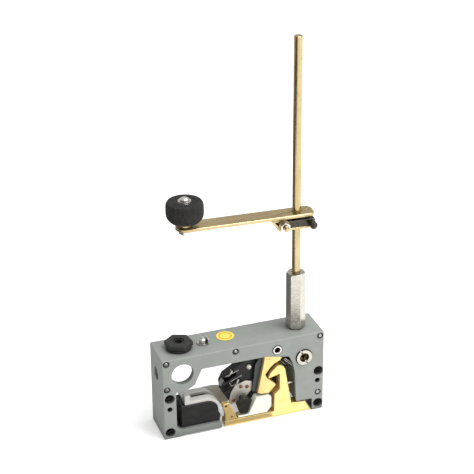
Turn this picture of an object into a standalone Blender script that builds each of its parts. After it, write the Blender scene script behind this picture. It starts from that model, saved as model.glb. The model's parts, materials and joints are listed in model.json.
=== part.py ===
"""Limit switch with a roller arm: an open die-cast housing with its hook lock and contacts, and a vertical
shaft that carries a hexagonal coupling, a rod, a clamped arm and a rubber roller.

Sizes are in millimetres. X runs along the housing from its left end, Y from its front face into its depth,
and Z up from its base. Every piece hangs from the empty "switch_frame", which moves the origin to the back
face behind the shaft, at half the housing's height, and turns millimetres into metres.
"""

from math import cos, pi, radians, sin

import bmesh
import bpy
from mathutils import Matrix, Vector

MM = 0.001

# Driving dimensions
LENGTH = 160.0
DEPTH = 39.0
HEIGHT = 85.0
SHAFT_X = 138.5
MIDDLE_Y = DEPTH / 2
SHAFT_RADIUS = 5.0
RUNNING_GAP = 0.1
ASSEMBLY_GAP = 0.3

COUPLING_FLATS = 16.0
COUPLING_HEIGHT = 58.0
ROD_RADIUS = 4.0
ROD_TOP = 373.0

ARM_REACH = 105.0
ARM_ANGLE = radians(3.5)
ARM_WIDTH = 18.0
ARM_THICKNESS = 3.0
ARM_TOP = 205.5

ROLLER_RADIUS = 17.3
ROLLER_TOP_RADIUS = 16.2
ROLLER_FOOT_RADIUS = 14.2
ROLLER_HEIGHT = 18.4

# Depths from the front face
FRONT_SKIN = 6.0
STRIKE_FRONT = 1.0
STRIKE_BACK = 11.0
HOOK_FRONT = 3.6
HOOK_BACK = 7.6
BARB_BACK = 10.4
BARB_TIP_BACK = 18.0
SHIELD_BACK = 9.2
BRIDGE_FRONT = 10.7
BRIDGE_BACK = 11.9
BLOCK_FRONT = 12.5
BLOCK_BACK = 22.0

HOOK_PIVOT = (105.0, 65.0)
BRIDGE_PIVOT = (72.0, 22.0)
RELEASE_AXIS = (139.6, 61.4)
BLOCK_CENTRE = (83.3, 46.6)
BLOCK_TILT = radians(31.0)

ROUND_STEPS = 32
SMALL_STEPS = 16

ALONG_X = Vector((1, 0, 0))
ALONG_Y = Vector((0, 1, 0))
ALONG_Z = Vector((0, 0, 1))


# ---------------------------------------------------------------- scene, frame and materials

for old_object in list(bpy.data.objects):
    bpy.data.objects.remove(old_object)

PARTS = bpy.data.collections.new("limit_switch")
CUTTERS = bpy.data.collections.new("cutters")
bpy.context.scene.collection.children.link(PARTS)
bpy.context.scene.collection.children.link(CUTTERS)


def add_empty(name, position, parent=None):
    """An empty at a place given in the housing's millimetres."""
    empty = bpy.data.objects.new(name, None)
    PARTS.objects.link(empty)
    empty.parent = parent
    offset = Vector(position) - (Vector(parent["place"]) if parent else Vector((0, 0, 0)))
    empty.location = offset * MM
    empty["place"] = tuple(position)
    return empty


frame = add_empty("switch_frame", (0, 0, 0))
frame.location = Vector((-SHAFT_X, -DEPTH, -HEIGHT / 2)) * MM

ROLLER_X = SHAFT_X - ARM_REACH

# One empty on each joint's axis. A slide's empty lies on the line that it moves along. The arm's empty is
# turned a little about the rod, so the arm, its clamp and its roller are given as if they lay along X.
AXES = {"housing": frame}
AXES["shaft"] = add_empty("shaft_axis", (SHAFT_X, MIDDLE_Y, HEIGHT), frame)
AXES["rod"] = add_empty("rod_axis", (SHAFT_X, MIDDLE_Y, HEIGHT + COUPLING_HEIGHT), AXES["shaft"])
AXES["arm"] = add_empty("arm_axis", (SHAFT_X, MIDDLE_Y, ARM_TOP), AXES["rod"])
AXES["arm"].rotation_euler.z = -ARM_ANGLE
AXES["roller"] = add_empty("roller_axis", (ROLLER_X, MIDDLE_Y, ARM_TOP), AXES["arm"])
AXES["hook"] = add_empty("hook_axis", (HOOK_PIVOT[0], MIDDLE_Y, HOOK_PIVOT[1]), frame)
AXES["strike"] = add_empty("strike_line", (110.0, STRIKE_FRONT, 0), frame)
AXES["contact"] = add_empty("contact_axis", (BRIDGE_PIVOT[0], BRIDGE_FRONT, BRIDGE_PIVOT[1]), frame)
AXES["release"] = add_empty("release_axis", (RELEASE_AXIS[0], 0, RELEASE_AXIS[1]), frame)


def add_material(name, colour, roughness, metallic):
    material = bpy.data.materials.new(name)
    material.use_nodes = True
    shader = material.node_tree.nodes["Principled BSDF"]
    shader.inputs["Base Color"].default_value = (*colour, 1)
    shader.inputs["Roughness"].default_value = roughness
    shader.inputs["Metallic"].default_value = metallic
    material.diffuse_color = (*colour, 1)
    return material


GREY_PAINT = add_material("grey_paint", (0.29, 0.31, 0.29), 0.55, 0.1)
REAR_PAINT = add_material("rear_cover_paint", (0.05, 0.05, 0.05), 0.6, 0.1)
BLACK_PLASTIC = add_material("black_plastic", (0.035, 0.035, 0.036), 0.5, 0.0)
SLATE_PLASTIC = add_material("slate_plastic", (0.07, 0.08, 0.085), 0.5, 0.0)
BLACK_RUBBER = add_material("black_rubber", (0.03, 0.03, 0.028), 0.75, 0.0)
WHITE_NYLON = add_material("white_nylon", (0.85, 0.88, 0.85), 0.45, 0.0)
YELLOW_LABEL = add_material("yellow_label", (0.9, 0.7, 0.06), 0.5, 0.0)
GOLD_PASSIVATE = add_material("gold_passivate", (0.85, 0.56, 0.19), 0.35, 0.9)
ZINC_YELLOW = add_material("zinc_yellow", (0.6, 0.48, 0.26), 0.35, 0.9)
NICKEL = add_material("nickel", (0.66, 0.63, 0.56), 0.3, 1.0)
BRIGHT_STEEL = add_material("bright_steel", (0.7, 0.69, 0.65), 0.3, 1.0)
SILVER_PLATE = add_material("silver_plate", (0.72, 0.69, 0.62), 0.35, 0.8)
COPPER_RIVET = add_material("copper_rivet", (0.35, 0.17, 0.11), 0.4, 0.9)
DARK_STEEL = add_material("dark_steel", (0.06, 0.055, 0.045), 0.4, 0.8)


# ---------------------------------------------------------------- shaping tools

def scaled(position):
    return Vector(position) * MM


def finish(name, mesh, material, body, origin, smooth=True):
    """Make the object, hang it from its body's empty and put it at its own origin."""
    piece = bpy.data.objects.new(name, mesh)
    mesh.name = name
    cutter = material is None
    (CUTTERS if cutter else PARTS).objects.link(piece)
    if cutter:
        piece.hide_render = True
        piece.display_type = "WIRE"
    else:
        mesh.materials.append(material)
    if smooth:
        mesh.shade_smooth()
        mesh.set_sharp_from_angle(angle=radians(35))
    axis = AXES[body]
    piece.parent = axis
    piece.location = scaled(Vector(origin) - Vector(axis["place"]))
    return piece


def box(name, low, high, material=None, body="housing", turn=None):
    """A box between two corners; turn rotates it about Y through its centre."""
    low, high = Vector(low), Vector(high)
    shape = bmesh.new()
    bmesh.ops.create_cube(shape, size=MM)
    size = Matrix.Diagonal((*(high - low), 1))
    if turn:
        size = Matrix.Rotation(turn, 4, "Y") @ size
    bmesh.ops.transform(shape, matrix=size, verts=shape.verts)
    mesh = bpy.data.meshes.new(name)
    shape.to_mesh(mesh)
    shape.free()
    return finish(name, mesh, material, body, (low + high) / 2, smooth=False)


def rod_shape(name, start, length, radius, axis=ALONG_Z, material=None, body="housing", steps=ROUND_STEPS,
              roll=0.0):
    """A cylinder or prism that stands at start and runs along axis. A prism has 6 steps or fewer."""
    shape = bmesh.new()
    bmesh.ops.create_cone(shape, cap_ends=True, segments=steps, radius1=radius * MM, radius2=radius * MM,
                          depth=length * MM)
    aim = ALONG_Z.rotation_difference(axis).to_matrix().to_4x4()
    lift = Matrix.Translation((0, 0, length / 2 * MM))
    bmesh.ops.transform(shape, matrix=aim @ Matrix.Rotation(roll, 4, "Z") @ lift, verts=shape.verts)
    mesh = bpy.data.meshes.new(name)
    shape.to_mesh(mesh)
    shape.free()
    return finish(name, mesh, material, body, start, smooth=steps > 6)


def turned(name, profile, start, axis=ALONG_Z, material=None, body="housing", steps=ROUND_STEPS,
           ring=False):
    """A Screw of a (radius, height) profile about axis. The outer side is given from the top down."""
    shape = bmesh.new()
    corners = [shape.verts.new((radius * MM, 0, height * MM)) for radius, height in profile]
    for first, second in zip(corners, corners[1:] + (corners[:1] if ring else [])):
        shape.edges.new((first, second))
    mesh = bpy.data.meshes.new(name)
    shape.to_mesh(mesh)
    shape.free()
    piece = finish(name, mesh, material, body, start, smooth=False)
    piece.rotation_mode = "QUATERNION"
    piece.rotation_quaternion = ALONG_Z.rotation_difference(axis)
    screw = piece.modifiers.new("turn", "SCREW")
    screw.steps = screw.render_steps = steps
    screw.use_merge_vertices = True
    screw.merge_threshold = 0.00001
    screw.use_smooth_shade = True
    return piece


def tube(name, start, length, radius, hole, axis=ALONG_Z, material=None, body="housing", steps=ROUND_STEPS):
    profile = [(radius, length), (radius, 0), (hole, 0), (hole, length)]
    return turned(name, profile, start, axis, material, body, steps, ring=True)


def extrude_outline(name, outline, near, far, material=None, body="housing", normal="Y"):
    """A flat outline given a thickness. normal Y reads it as (X, Z), normal Z as (X, Y)."""
    curve = bpy.data.curves.new(name, "CURVE")
    curve.dimensions = "2D"
    curve.fill_mode = "BOTH"
    curve.extrude = (far - near) / 2 * MM
    spline = curve.splines.new("POLY")
    spline.points.add(len(outline) - 1)
    first = outline[0]
    for point, (across, up) in zip(spline.points, outline):
        point.co = ((across - first[0]) * MM, (up - first[1]) * MM, 0, 1)
    spline.use_cyclic_u = True
    sketch = bpy.data.objects.new(name + "_sketch", curve)
    CUTTERS.objects.link(sketch)
    evaluated = sketch.evaluated_get(bpy.context.evaluated_depsgraph_get())
    mesh = bpy.data.meshes.new_from_object(evaluated)
    bpy.data.objects.remove(sketch)
    middle = (near + far) / 2
    if normal == "Y":
        mesh.transform(Matrix.Rotation(pi / 2, 4, "X"))
        origin = (first[0], middle, first[1])
    else:
        origin = (first[0], first[1], middle)
    shape = bmesh.new()
    shape.from_mesh(mesh)
    bmesh.ops.remove_doubles(shape, verts=shape.verts, dist=0.000001)
    bmesh.ops.dissolve_limit(shape, angle_limit=radians(0.5), verts=shape.verts, edges=shape.edges)
    shape.to_mesh(mesh)
    shape.free()
    mesh.materials.clear()
    return finish(name, mesh, material, body, origin)


def cut(piece, *tools, operation="DIFFERENCE"):
    for tool in tools:
        boolean = piece.modifiers.new(tool.name, "BOOLEAN")
        boolean.operation = operation
        boolean.solver = "EXACT"
        boolean.object = tool
    return piece


def join(piece, *tools):
    return cut(piece, *tools, operation="UNION")


def bevel(piece, width, segments=2, angle=40):
    modifier = piece.modifiers.new("soft_edges", "BEVEL")
    modifier.width = width * MM
    modifier.segments = segments
    modifier.limit_method = "ANGLE"
    modifier.angle_limit = radians(angle)
    modifier.harden_normals = False
    return piece


def arc(centre, radius, start, end, steps=8):
    """Points on a circle from one angle to another, both in degrees."""
    turns = [radians(start + (end - start) * step / steps) for step in range(steps + 1)]
    return [(centre[0] + radius * cos(turn), centre[1] + radius * sin(turn)) for turn in turns]


# ---------------------------------------------------------------- housing

# The window in the front: its top dips to the right, its left side slants into the low left pocket, and it
# is open at the bottom, where the strike enters.
STRIKE_GATE_LEFT = 58.0
STRIKE_GATE_RIGHT = 148.5
STRIKE_GATE_TOP = 13.3
WINDOW_RIGHT = 132.0
WINDOW_TOP = 69.5
POCKET_LEFT = 12.5
POCKET_BOTTOM = 7.8
WINDOW = [
    (38.0, WINDOW_TOP), (100.0, WINDOW_TOP), (124.5, 65.0), (128.0, 58.0), (130.5, 47.0),
    (WINDOW_RIGHT, STRIKE_GATE_TOP), (STRIKE_GATE_RIGHT, STRIKE_GATE_TOP), (STRIKE_GATE_RIGHT, -1.0),
    (STRIKE_GATE_LEFT, -1.0), (56.3, POCKET_BOTTOM), (17.0, POCKET_BOTTOM), (POCKET_LEFT, 11.3),
    (POCKET_LEFT, 49.3), (22.0, 49.3), (31.0, 54.0),
]

MOUNTING_HOLES = [(6.3, 43.3), (6.0, 6.8), (154.6, 42.9), (154.6, 6.9)]
SMALL_HOLES = [(6.2, 32.2), (153.8, 32.4)]
COVER_PINS = [(4.0, 81.0), (4.1, 53.6), (71.4, 81.0), (156.0, 81.0), (154.4, 19.2)]
REAR_SCREWS = [(97.0, 72.9), (127.0, 72.9)]
INSPECTION_HOLE = (19.5, 67.4)
SLEEVE = (112.6, 74.5)
GLAND = (22.3, MIDDLE_Y)
EARTH_SCREW = (45.5, MIDDLE_Y)
STICKER = (69.5, 24.5)
SIDE_ENTRY = (21.5, 61.5)
REAR_COVER_LEFT = 82.0
REAR_COVER_RIGHT = 135.0
REAR_COVER_TOP = 76.0
REAR_COVER_THICKNESS = 1.7
BUSH_SEAT_RADIUS = 7.3
BUSH_SEAT_FLOOR = 15.5
CAM_CHAMBER_RADIUS = 12.5
CAM_CHAMBER = (54.0, 70.0)
THROUGH = 1.0


def hole_along_y(name, place, radius, depth, steps=SMALL_STEPS):
    return rod_shape(name, (place[0], -THROUGH, place[1]), depth + THROUGH, radius, ALONG_Y, steps=steps)


def hole_along_z(name, place, radius, low, high, steps=ROUND_STEPS):
    return rod_shape(name, (place[0], place[1], low), high - low, radius, ALONG_Z, steps=steps)


def make_housing():
    housing = bevel(box("housing", (0, 0, 0), (LENGTH, DEPTH, HEIGHT), GREY_PAINT), 0.9)
    cut(housing, extrude_outline("window_cut", WINDOW, -THROUGH, DEPTH + THROUGH))
    cut(housing,
        box("cable_chamber_cut", (9, FRONT_SKIN, 47), (41, DEPTH + THROUGH, 79)),
        box("hook_head_cut_left", (96, HOOK_FRONT - 0.3, 60), (108, 36, 72)),
        box("hook_head_cut_right", (107, HOOK_FRONT - 0.3, 60), (122, 36, 69.4)),
        box("cam_way_cut", (118, 7, CAM_CHAMBER[0] + 1), (SHAFT_X, 32, CAM_CHAMBER[1] - 1)),
        box("rear_cover_cut", (REAR_COVER_LEFT - 10, DEPTH - REAR_COVER_THICKNESS - ASSEMBLY_GAP, -THROUGH),
            (REAR_COVER_RIGHT, DEPTH + THROUGH, REAR_COVER_TOP)),
        box("bar_relief_cut", (18, -THROUGH, -THROUGH), (STRIKE_GATE_LEFT + 2, DEPTH + THROUGH, 1.4)))
    cut(housing,
        hole_along_y("inspection_cut", INSPECTION_HOLE, 10.5, FRONT_SKIN + THROUGH, ROUND_STEPS),
        hole_along_y("sleeve_cut", SLEEVE, 4.6, 12),
        hole_along_y("release_cut", RELEASE_AXIS, 8.0, 9, ROUND_STEPS),
        rod_shape("side_entry_cut", (-THROUGH, *SIDE_ENTRY), 12, 6.5, ALONG_X, steps=ROUND_STEPS),
        hole_along_z("gland_cut", GLAND, 8.0, 76, HEIGHT + THROUGH),
        hole_along_z("earth_cut", EARTH_SCREW, 2.3, 76, HEIGHT + THROUGH, SMALL_STEPS),
        hole_along_z("bush_cut", (SHAFT_X, MIDDLE_Y), BUSH_SEAT_RADIUS, BUSH_SEAT_FLOOR, HEIGHT + THROUGH),
        hole_along_z("cam_chamber_cut", (SHAFT_X, MIDDLE_Y), CAM_CHAMBER_RADIUS, *CAM_CHAMBER),
        rod_shape("stop_pin_cut", (WINDOW_RIGHT - 2, 6, 32.2), 7, 1.4, ALONG_X, steps=SMALL_STEPS))
    for number, place in enumerate(MOUNTING_HOLES, 1):
        cut(housing, hole_along_y(f"mounting_cut_{number}", place, 3.3, DEPTH + THROUGH))
        cut(housing, hole_along_y(f"counterbore_cut_{number}", place, 4.7, 7))
    for number, place in enumerate(SMALL_HOLES, 1):
        cut(housing, hole_along_y(f"small_cut_{number}", place, 2.4, 12))
    for number, place in enumerate(COVER_PINS, 1):
        cut(housing, hole_along_y(f"pin_recess_cut_{number}", place, 3.2, 1.5))
        cut(housing, hole_along_y(f"pin_hole_cut_{number}", place, 1.7, 8))
    for number, (across, up) in enumerate(REAR_SCREWS, 1):
        cut(housing, rod_shape(f"rear_screw_cut_{number}", (across, DEPTH + THROUGH, up), 9, 1.6, -ALONG_Y,
                               steps=SMALL_STEPS))


def make_rear_cover():
    outline = [(REAR_COVER_LEFT + 0.3, 1.0), (REAR_COVER_RIGHT - ASSEMBLY_GAP, 1.0),
               (REAR_COVER_RIGHT - ASSEMBLY_GAP, REAR_COVER_TOP - ASSEMBLY_GAP),
               (REAR_COVER_LEFT + 0.3, REAR_COVER_TOP - ASSEMBLY_GAP)]
    cover = extrude_outline("rear_cover", outline, DEPTH - REAR_COVER_THICKNESS, DEPTH - 0.1, REAR_PAINT)
    for number, (across, up) in enumerate(REAR_SCREWS, 1):
        cut(cover, rod_shape(f"rear_clearance_cut_{number}", (across, DEPTH - 4, up), 6, 1.8, ALONG_Y,
                             steps=SMALL_STEPS))
        profile = [(0, 7.9), (1.9, 7.7), (2.7, 7.0), (2.7, 6.4), (1.3, 6.4), (1.3, 0), (0, 0)]
        turned(f"rear_cover_screw_{number}", profile, (across, DEPTH - 6.2, up), ALONG_Y, BRIGHT_STEEL,
               steps=SMALL_STEPS)


def make_cover_pins():
    profile = [(0, 7.2), (1.4, 6.9), (2.1, 6.2), (2.1, 5.7), (1.3, 5.7), (1.3, 0), (0, 0)]
    for number, (across, up) in enumerate(COVER_PINS, 1):
        turned(f"cover_pin_{number}", profile, (across, 6.9, up), -ALONG_Y, BRIGHT_STEEL,
               steps=SMALL_STEPS)


def make_cable_gland():
    x, y = GLAND
    profile = [(5.6, 2.6), (11.6, 2.6), (12.2, 1.8), (12.2, 0.3), (7.6, 0.3), (7.6, -9.0), (5.6, -9.0)]
    turned("gland_body", profile, (x, y, HEIGHT), ALONG_Z, BLACK_PLASTIC, ring=True)
    nut_flats = 23.6
    nut = rod_shape("gland_nut", (x, y, HEIGHT + 2.9), 4.6, nut_flats / 2 / cos(pi / 6), steps=6,
                    roll=radians(8), material=BLACK_PLASTIC)
    bevel(nut, 0.8)
    cut(nut, hole_along_z("gland_nut_cut", GLAND, 5.4, HEIGHT + 1, HEIGHT + 13))
    tube("gland_seal", (x, y, HEIGHT + 3.0), 3.9, 5.0, 3.4, material=BLACK_RUBBER)


def make_earth_screw():
    """The screw holds a round clamp with one edge bent up."""
    x, y = EARTH_SCREW
    washer_top = HEIGHT + 1.2
    washer = tube("earth_washer", (x, y, HEIGHT + 0.2), 1.0, 5.2, 2.3, material=BRIGHT_STEEL)
    join(washer, box("earth_tab", (x + 3.9, y - 4.2, HEIGHT + 0.2), (x + 5.1, y + 2.8, HEIGHT + 5.6)))
    profile = [(0, 14.0), (2.4, 13.6), (3.6, 12.4), (3.6, 9.5), (1.9, 9.5), (1.9, 0), (0, 0)]
    screw = turned("earth_screw", profile, (x, y, washer_top - 9.2), ALONG_Z, BRIGHT_STEEL,
                   steps=SMALL_STEPS)
    slot_floor = washer_top + 3.2
    cut(screw, box("earth_slot_cut", (x - 5, y - 0.5, slot_floor), (x + 5, y + 0.5, slot_floor + 3)))


def make_sticker():
    rod_shape("sticker", (STICKER[0], STICKER[1], HEIGHT + 0.1), 0.3, 8.6, material=YELLOW_LABEL)


def make_guide_sleeve():
    turned("guide_sleeve", [(2.9, 10.6), (4.3, 10.6), (4.3, 0.0), (2.9, 0.0)], (SLEEVE[0], 10.0, SLEEVE[1]),
           -ALONG_Y, NICKEL, steps=32, ring=True)


def make_release_bush():
    bush = turned("release_bush", [(4.7, 8.2), (7.7, 8.2), (7.7, 0.0), (4.7, 0.0)],
                  (RELEASE_AXIS[0], 6.6, RELEASE_AXIS[1]), -ALONG_Y, NICKEL, ring=True)
    reach = 2.0
    for number, side in enumerate((-1, 1), 1):
        # The two slots lie on one line, from the upper left to the lower right.
        x = RELEASE_AXIS[0] + side * 6.6 * cos(radians(65))
        z = RELEASE_AXIS[1] - side * 6.6 * sin(radians(65))
        cut(bush, box(f"release_slot_cut_{number}", (x - reach, -4, z - 0.8), (x + reach, 0.5, z + 0.8),
                      turn=radians(65)))
    core = rod_shape("release_core", (RELEASE_AXIS[0], 1.2, RELEASE_AXIS[1]), 5.2, 4.4, ALONG_Y, DARK_STEEL,
                     "release")
    cut(core, rod_shape("release_key_cut", (RELEASE_AXIS[0], 0, RELEASE_AXIS[1]), 4.2, 3.4, ALONG_Y,
                        body="release", steps=3))


# ---------------------------------------------------------------- contacts

CARRIER_BACK = 25.3
CARRIER_TOP = 30.8
CARRIER_CORNER = (43.0, 19.0)


def make_contact_carrier():
    radius = CARRIER_TOP - CARRIER_CORNER[1]
    outline = [(18.0, 8.2), (55.8, 8.2), (57.0, 13.0), *arc(CARRIER_CORNER, radius, -5, 90, 10),
               (18.0, CARRIER_TOP)]
    carrier = extrude_outline("contact_carrier", outline, 3.0, CARRIER_BACK, BLACK_PLASTIC)
    bevel(carrier, 0.5, segments=1)


def make_terminal_bracket():
    """A forked strip that lies on the carrier, with a raised end, and bends down along its round corner."""
    low = CARRIER_TOP + ASSEMBLY_GAP
    high = low + 2.8
    left = 22.0
    inner_radius = low - CARRIER_CORNER[1]
    outer = arc(CARRIER_CORNER, high - CARRIER_CORNER[1], 90, 14, 10)
    inner = arc(CARRIER_CORNER, inner_radius, 14, 90, 10)
    outline = [(left, high), *outer, *inner, (left, low)]
    front, back = 4.0, 25.0
    bracket = extrude_outline("terminal_bracket", outline, front, back, BRIGHT_STEEL)
    cut(bracket, box("bracket_slot_cut", (30.5, 11.5, 16), (70, 17.5, 40)))
    join(bracket, box("bracket_block", (left, front, low), (left + 5, 11.5, 40.5)))


def make_terminal_plate():
    """A plate on the carrier's back that stands out to the right of it."""
    outline = [(46, 9.5), (66, 9.5), (73, 12.4), (73, 29.4), (56, 33), (46, 33)]
    near = CARRIER_BACK + ASSEMBLY_GAP
    plate = extrude_outline("terminal_plate", outline, near, near + 1.5, SILVER_PLATE)
    bevel(plate, 0.3, segments=1)


def tilted(across, up):
    """A place on the contact block, from its centre along its own tilted axes."""
    return (BLOCK_CENTRE[0] + across * cos(BLOCK_TILT) - up * sin(BLOCK_TILT),
            BLOCK_CENTRE[1] + across * sin(BLOCK_TILT) + up * cos(BLOCK_TILT))


def tilted_box(name, across, up, near, far):
    """A box cutter in the contact block's tilted axes: across and up are (low, high) pairs."""
    x, z = tilted(sum(across) / 2, sum(up) / 2)
    half_x, half_z = (across[1] - across[0]) / 2, (up[1] - up[0]) / 2
    return box(name, (x - half_x, near, z - half_z), (x + half_x, far, z + half_z), turn=-BLOCK_TILT)


def make_contact_block():
    corners = [(-26, -18.5), (-17, -18.5), (-12, -12), (13, -12), (19, -6), (19, 12), (-15, 12),
               (-22.2, 7.1), (-26, -1.6), (-26, -12)]
    block = extrude_outline("contact_block", [tilted(*corner) for corner in corners], BLOCK_FRONT,
                            BLOCK_BACK, BLACK_PLASTIC)
    foot_back = DEPTH - REAR_COVER_THICKNESS - ASSEMBLY_GAP
    join(block, tilted_box("block_foot", (4, 18), (-8, 6), BLOCK_BACK - 1, foot_back))
    bevel(block, 0.4, segments=1)
    cut(block,
        tilted_box("pocket_cut_1", (-18, -5), (4.5, 10.5), BLOCK_FRONT - 1, BLOCK_FRONT + 7),
        tilted_box("pocket_cut_2", (-18, -5), (-10.5, -4.5), BLOCK_FRONT - 1, BLOCK_FRONT + 7))
    for number in range(3):
        low = -3.4 + number * 2.4
        cut(block, tilted_box(f"fin_cut_{number + 1}", (-27, -5), (low, low + 1.4), BLOCK_FRONT - 1,
                              BLOCK_FRONT + 5))
    x, z = tilted(8.5, 4.0)
    cut(block,
        rod_shape("block_screw_cut", (x, BLOCK_FRONT - 1, z), 12, 2.0, ALONG_Y, steps=SMALL_STEPS),
        rod_shape("block_pivot_cut", (BRIDGE_PIVOT[0], BLOCK_FRONT - 1, BRIDGE_PIVOT[1]), 8, 1.6, ALONG_Y,
                  steps=SMALL_STEPS))
    profile = [(0, 11.9), (2.0, 11.7), (3.0, 10.9), (3.0, 10.3), (1.6, 10.3), (1.6, 0), (0, 0)]
    screw = turned("block_screw", profile, (x, BLOCK_FRONT + 10, z), -ALONG_Y, BRIGHT_STEEL,
                   steps=SMALL_STEPS)
    slot_floor = BLOCK_FRONT - 1.1
    cut(screw, box("block_slot_cut", (x - 4, slot_floor - 2, z - 0.45), (x + 4, slot_floor, z + 0.45),
                   turn=radians(50)))
    for number, up in enumerate((7.5, -7.5), 1):
        x, z = tilted(-11.5, up)
        turned(f"terminal_screw_{number}", [(0, 4.4), (1.6, 4.2), (2.3, 3.4), (2.3, 0), (0, 0)],
               (x, BLOCK_FRONT + 6.7, z), -ALONG_Y, BRIGHT_STEEL, steps=SMALL_STEPS)


def make_contact_bridge():
    outline = [(84.1, 40.6), (90.9, 39.0), (92.0, 31.5), (85.6, 24.0), (76.0, 19.2), (70.4, 17.0),
               (67.8, 19.0), (68.2, 23.0), (69.9, 30.4), (74.0, 37.1)]
    bridge = extrude_outline("contact_bridge", outline, BRIDGE_FRONT, BRIDGE_BACK, SILVER_PLATE, "contact")
    shank = 1.2
    long_shank = 7.0
    rivets = [("contact_bridge_rivet_1", (79.8, 35.4), "contact", shank),
              ("contact_bridge_rivet_2", (86.0, 33.9), "contact", shank),
              ("contact_pivot_rivet", BRIDGE_PIVOT, "housing", long_shank)]
    for name, place, body, depth in rivets:
        cut(bridge, rod_shape(name + "_cut", (place[0], BRIDGE_FRONT - 1, place[1]), 4, 1.3, ALONG_Y,
                              steps=SMALL_STEPS, body="contact"))
        under = depth + 0.3
        turned(name, [(0, under + 1.0), (1.2, under + 0.8), (1.8, under + 0.3), (1.8, under), (1.2, under),
                      (1.2, 0), (0, 0)],
               (place[0], BRIDGE_FRONT + depth, place[1]), -ALONG_Y, COPPER_RIVET, body, SMALL_STEPS)


def make_contact_lever():
    outline = [(72.6, 21.2), *arc((81.0, 17.5), 9.2, 110, 40, 5), (83.6, 10.0), (76.0, 10.8)]
    lever = extrude_outline("contact_lever", outline, 2.0, 6.5, DARK_STEEL, "contact")
    bevel(lever, 0.3, segments=1)
    boss_start = 6.0
    boss_length = BRIDGE_FRONT - ASSEMBLY_GAP - boss_start
    join(lever, rod_shape("lever_boss", (80.0, boss_start, 24.0), boss_length, 2.0, ALONG_Y, body="contact",
                          steps=SMALL_STEPS))


# ---------------------------------------------------------------- lock: strike, plunger and hook

def make_strike():
    """The strike stands on a long bar, and its beak reaches left over the hook's barb."""
    outline = [
        (60.4, 0.4), (147.4, 0.4), (141.4, 11.3), (127.4, 12.3), (122.9, 39.3), (120.9, 52.3),
        *arc((114.9, 50.2), 6.2, 20, 110, 8), (110.4, 53.8), (106.0, 49.5), (104.5, 44.3),
        (115.7, 47.3), (115.7, 30.3), (110.4, 25.3), (109.9, 6.4), (60.4, 6.4),
    ]
    strike = extrude_outline("strike", outline, STRIKE_FRONT, STRIKE_BACK, GOLD_PASSIVATE, "strike")
    bevel(strike, 0.4, segments=1)


def make_strike_horn():
    outline = [(61.0, 6.7), (73.0, 6.7), (66.0, 23.8), (64.0, 25.6), (59.2, 25.2), (58.6, 22.0),
               (61.0, 14.0)]
    horn = extrude_outline("strike_horn", outline, 1.4, 6.6, GOLD_PASSIVATE, "strike")
    bevel(horn, 0.3, segments=1)
    cut(horn, rod_shape("horn_hole_cut", (61.6, 0, 22.6), 8, 1.3, ALONG_Y, steps=SMALL_STEPS,
                        body="strike"),
        rod_shape("horn_dimple_cut", (67.2, 0, 9.6), 3, 1.2, ALONG_Y, steps=SMALL_STEPS, body="strike"))


def make_plunger():
    outline = [(74.0, 6.7), (103.0, 6.7), (107.5, 12.6), (107.5, 22.8), (105.0, 25.2), (94.0, 25.2),
               (92.0, 24.6), (84.2, 8.6), (74.0, 8.6)]
    plunger = extrude_outline("nylon_plunger", outline, 1.6, 10.4, WHITE_NYLON, "strike")
    bevel(plunger, 0.4, segments=1)


def make_hook():
    """The hook hangs from its pin. Its barb, thicker than the rest, points right under the strike's beak,
    and its tongue reaches back and right to lie under the cam."""
    outline = [
        (101.7, 68.6), (107.0, 69.2), (113.0, 66.6), (118.6, 63.6), (118.2, 61.6), (116.2, 60.2),
        (111.2, 57.6), (107.2, 54.2), (102.2, 47.6), (104.2, 42.9), (105.2, 42.4), (112.7, 35.0),
        (112.7, 33.9), (105.7, 26.3), (97.2, 27.1), (94.2, 29.1), (99.7, 56.6),
    ]
    hook = extrude_outline("hook_lever", outline, HOOK_FRONT, HOOK_BACK, GOLD_PASSIVATE, "hook")
    bevel(hook, 0.35, segments=1)
    barb = [(105.4, 42.0), (112.5, 34.9), (112.5, 33.9), (106.4, 27.4), (103.6, 27.6), (103.6, 41.0)]
    barb_tip = [(106.6, 38.0), (109.0, 38.4), (112.5, 34.9), (112.5, 33.9), (107.2, 28.4)]
    tongue_under, tongue_over = 60.5, 63.2
    neck_back = 12.4
    join(hook,
         extrude_outline("hook_barb", barb, HOOK_BACK - 0.3, BARB_BACK, body="hook"),
         extrude_outline("hook_barb_tip", barb_tip, BARB_BACK - 0.4, BARB_TIP_BACK, body="hook"),
         box("hook_neck", (113.5, HOOK_BACK - 0.2, tongue_under), (117.5, neck_back, tongue_over),
             body="hook"),
         box("hook_tongue", (113.5, neck_back - 0.4, tongue_under), (127.0, 16.0, tongue_over), body="hook"))
    cut(hook, rod_shape("hook_bore_cut", (HOOK_PIVOT[0], 0, HOOK_PIVOT[1]), 20, 2.0 + RUNNING_GAP, ALONG_Y,
                        steps=SMALL_STEPS, body="hook"))


def make_hook_shield():
    outline = [(93.6, 58.0), (90.4, 28.6), (99.0, 28.6), (103.0, 44.0), (111.0, 60.0), (109.0, 67.0),
               (101.0, 68.4)]
    shield = extrude_outline("hook_shield", outline, HOOK_BACK + ASSEMBLY_GAP, SHIELD_BACK, SLATE_PLASTIC,
                             "hook")
    cut(shield, rod_shape("shield_bore_cut", (HOOK_PIVOT[0], 0, HOOK_PIVOT[1]), 20, 2.0 + RUNNING_GAP,
                          ALONG_Y, steps=SMALL_STEPS, body="hook"))


def make_hook_pin():
    """The pin reaches from the hook's face back to the rear cover."""
    start = HOOK_FRONT + 0.2
    end = DEPTH - REAR_COVER_THICKNESS - ASSEMBLY_GAP
    rod_shape("hook_pivot_pin", (HOOK_PIVOT[0], start, HOOK_PIVOT[1]), end - start, 2.0, ALONG_Y,
              BRIGHT_STEEL, steps=SMALL_STEPS)


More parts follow.
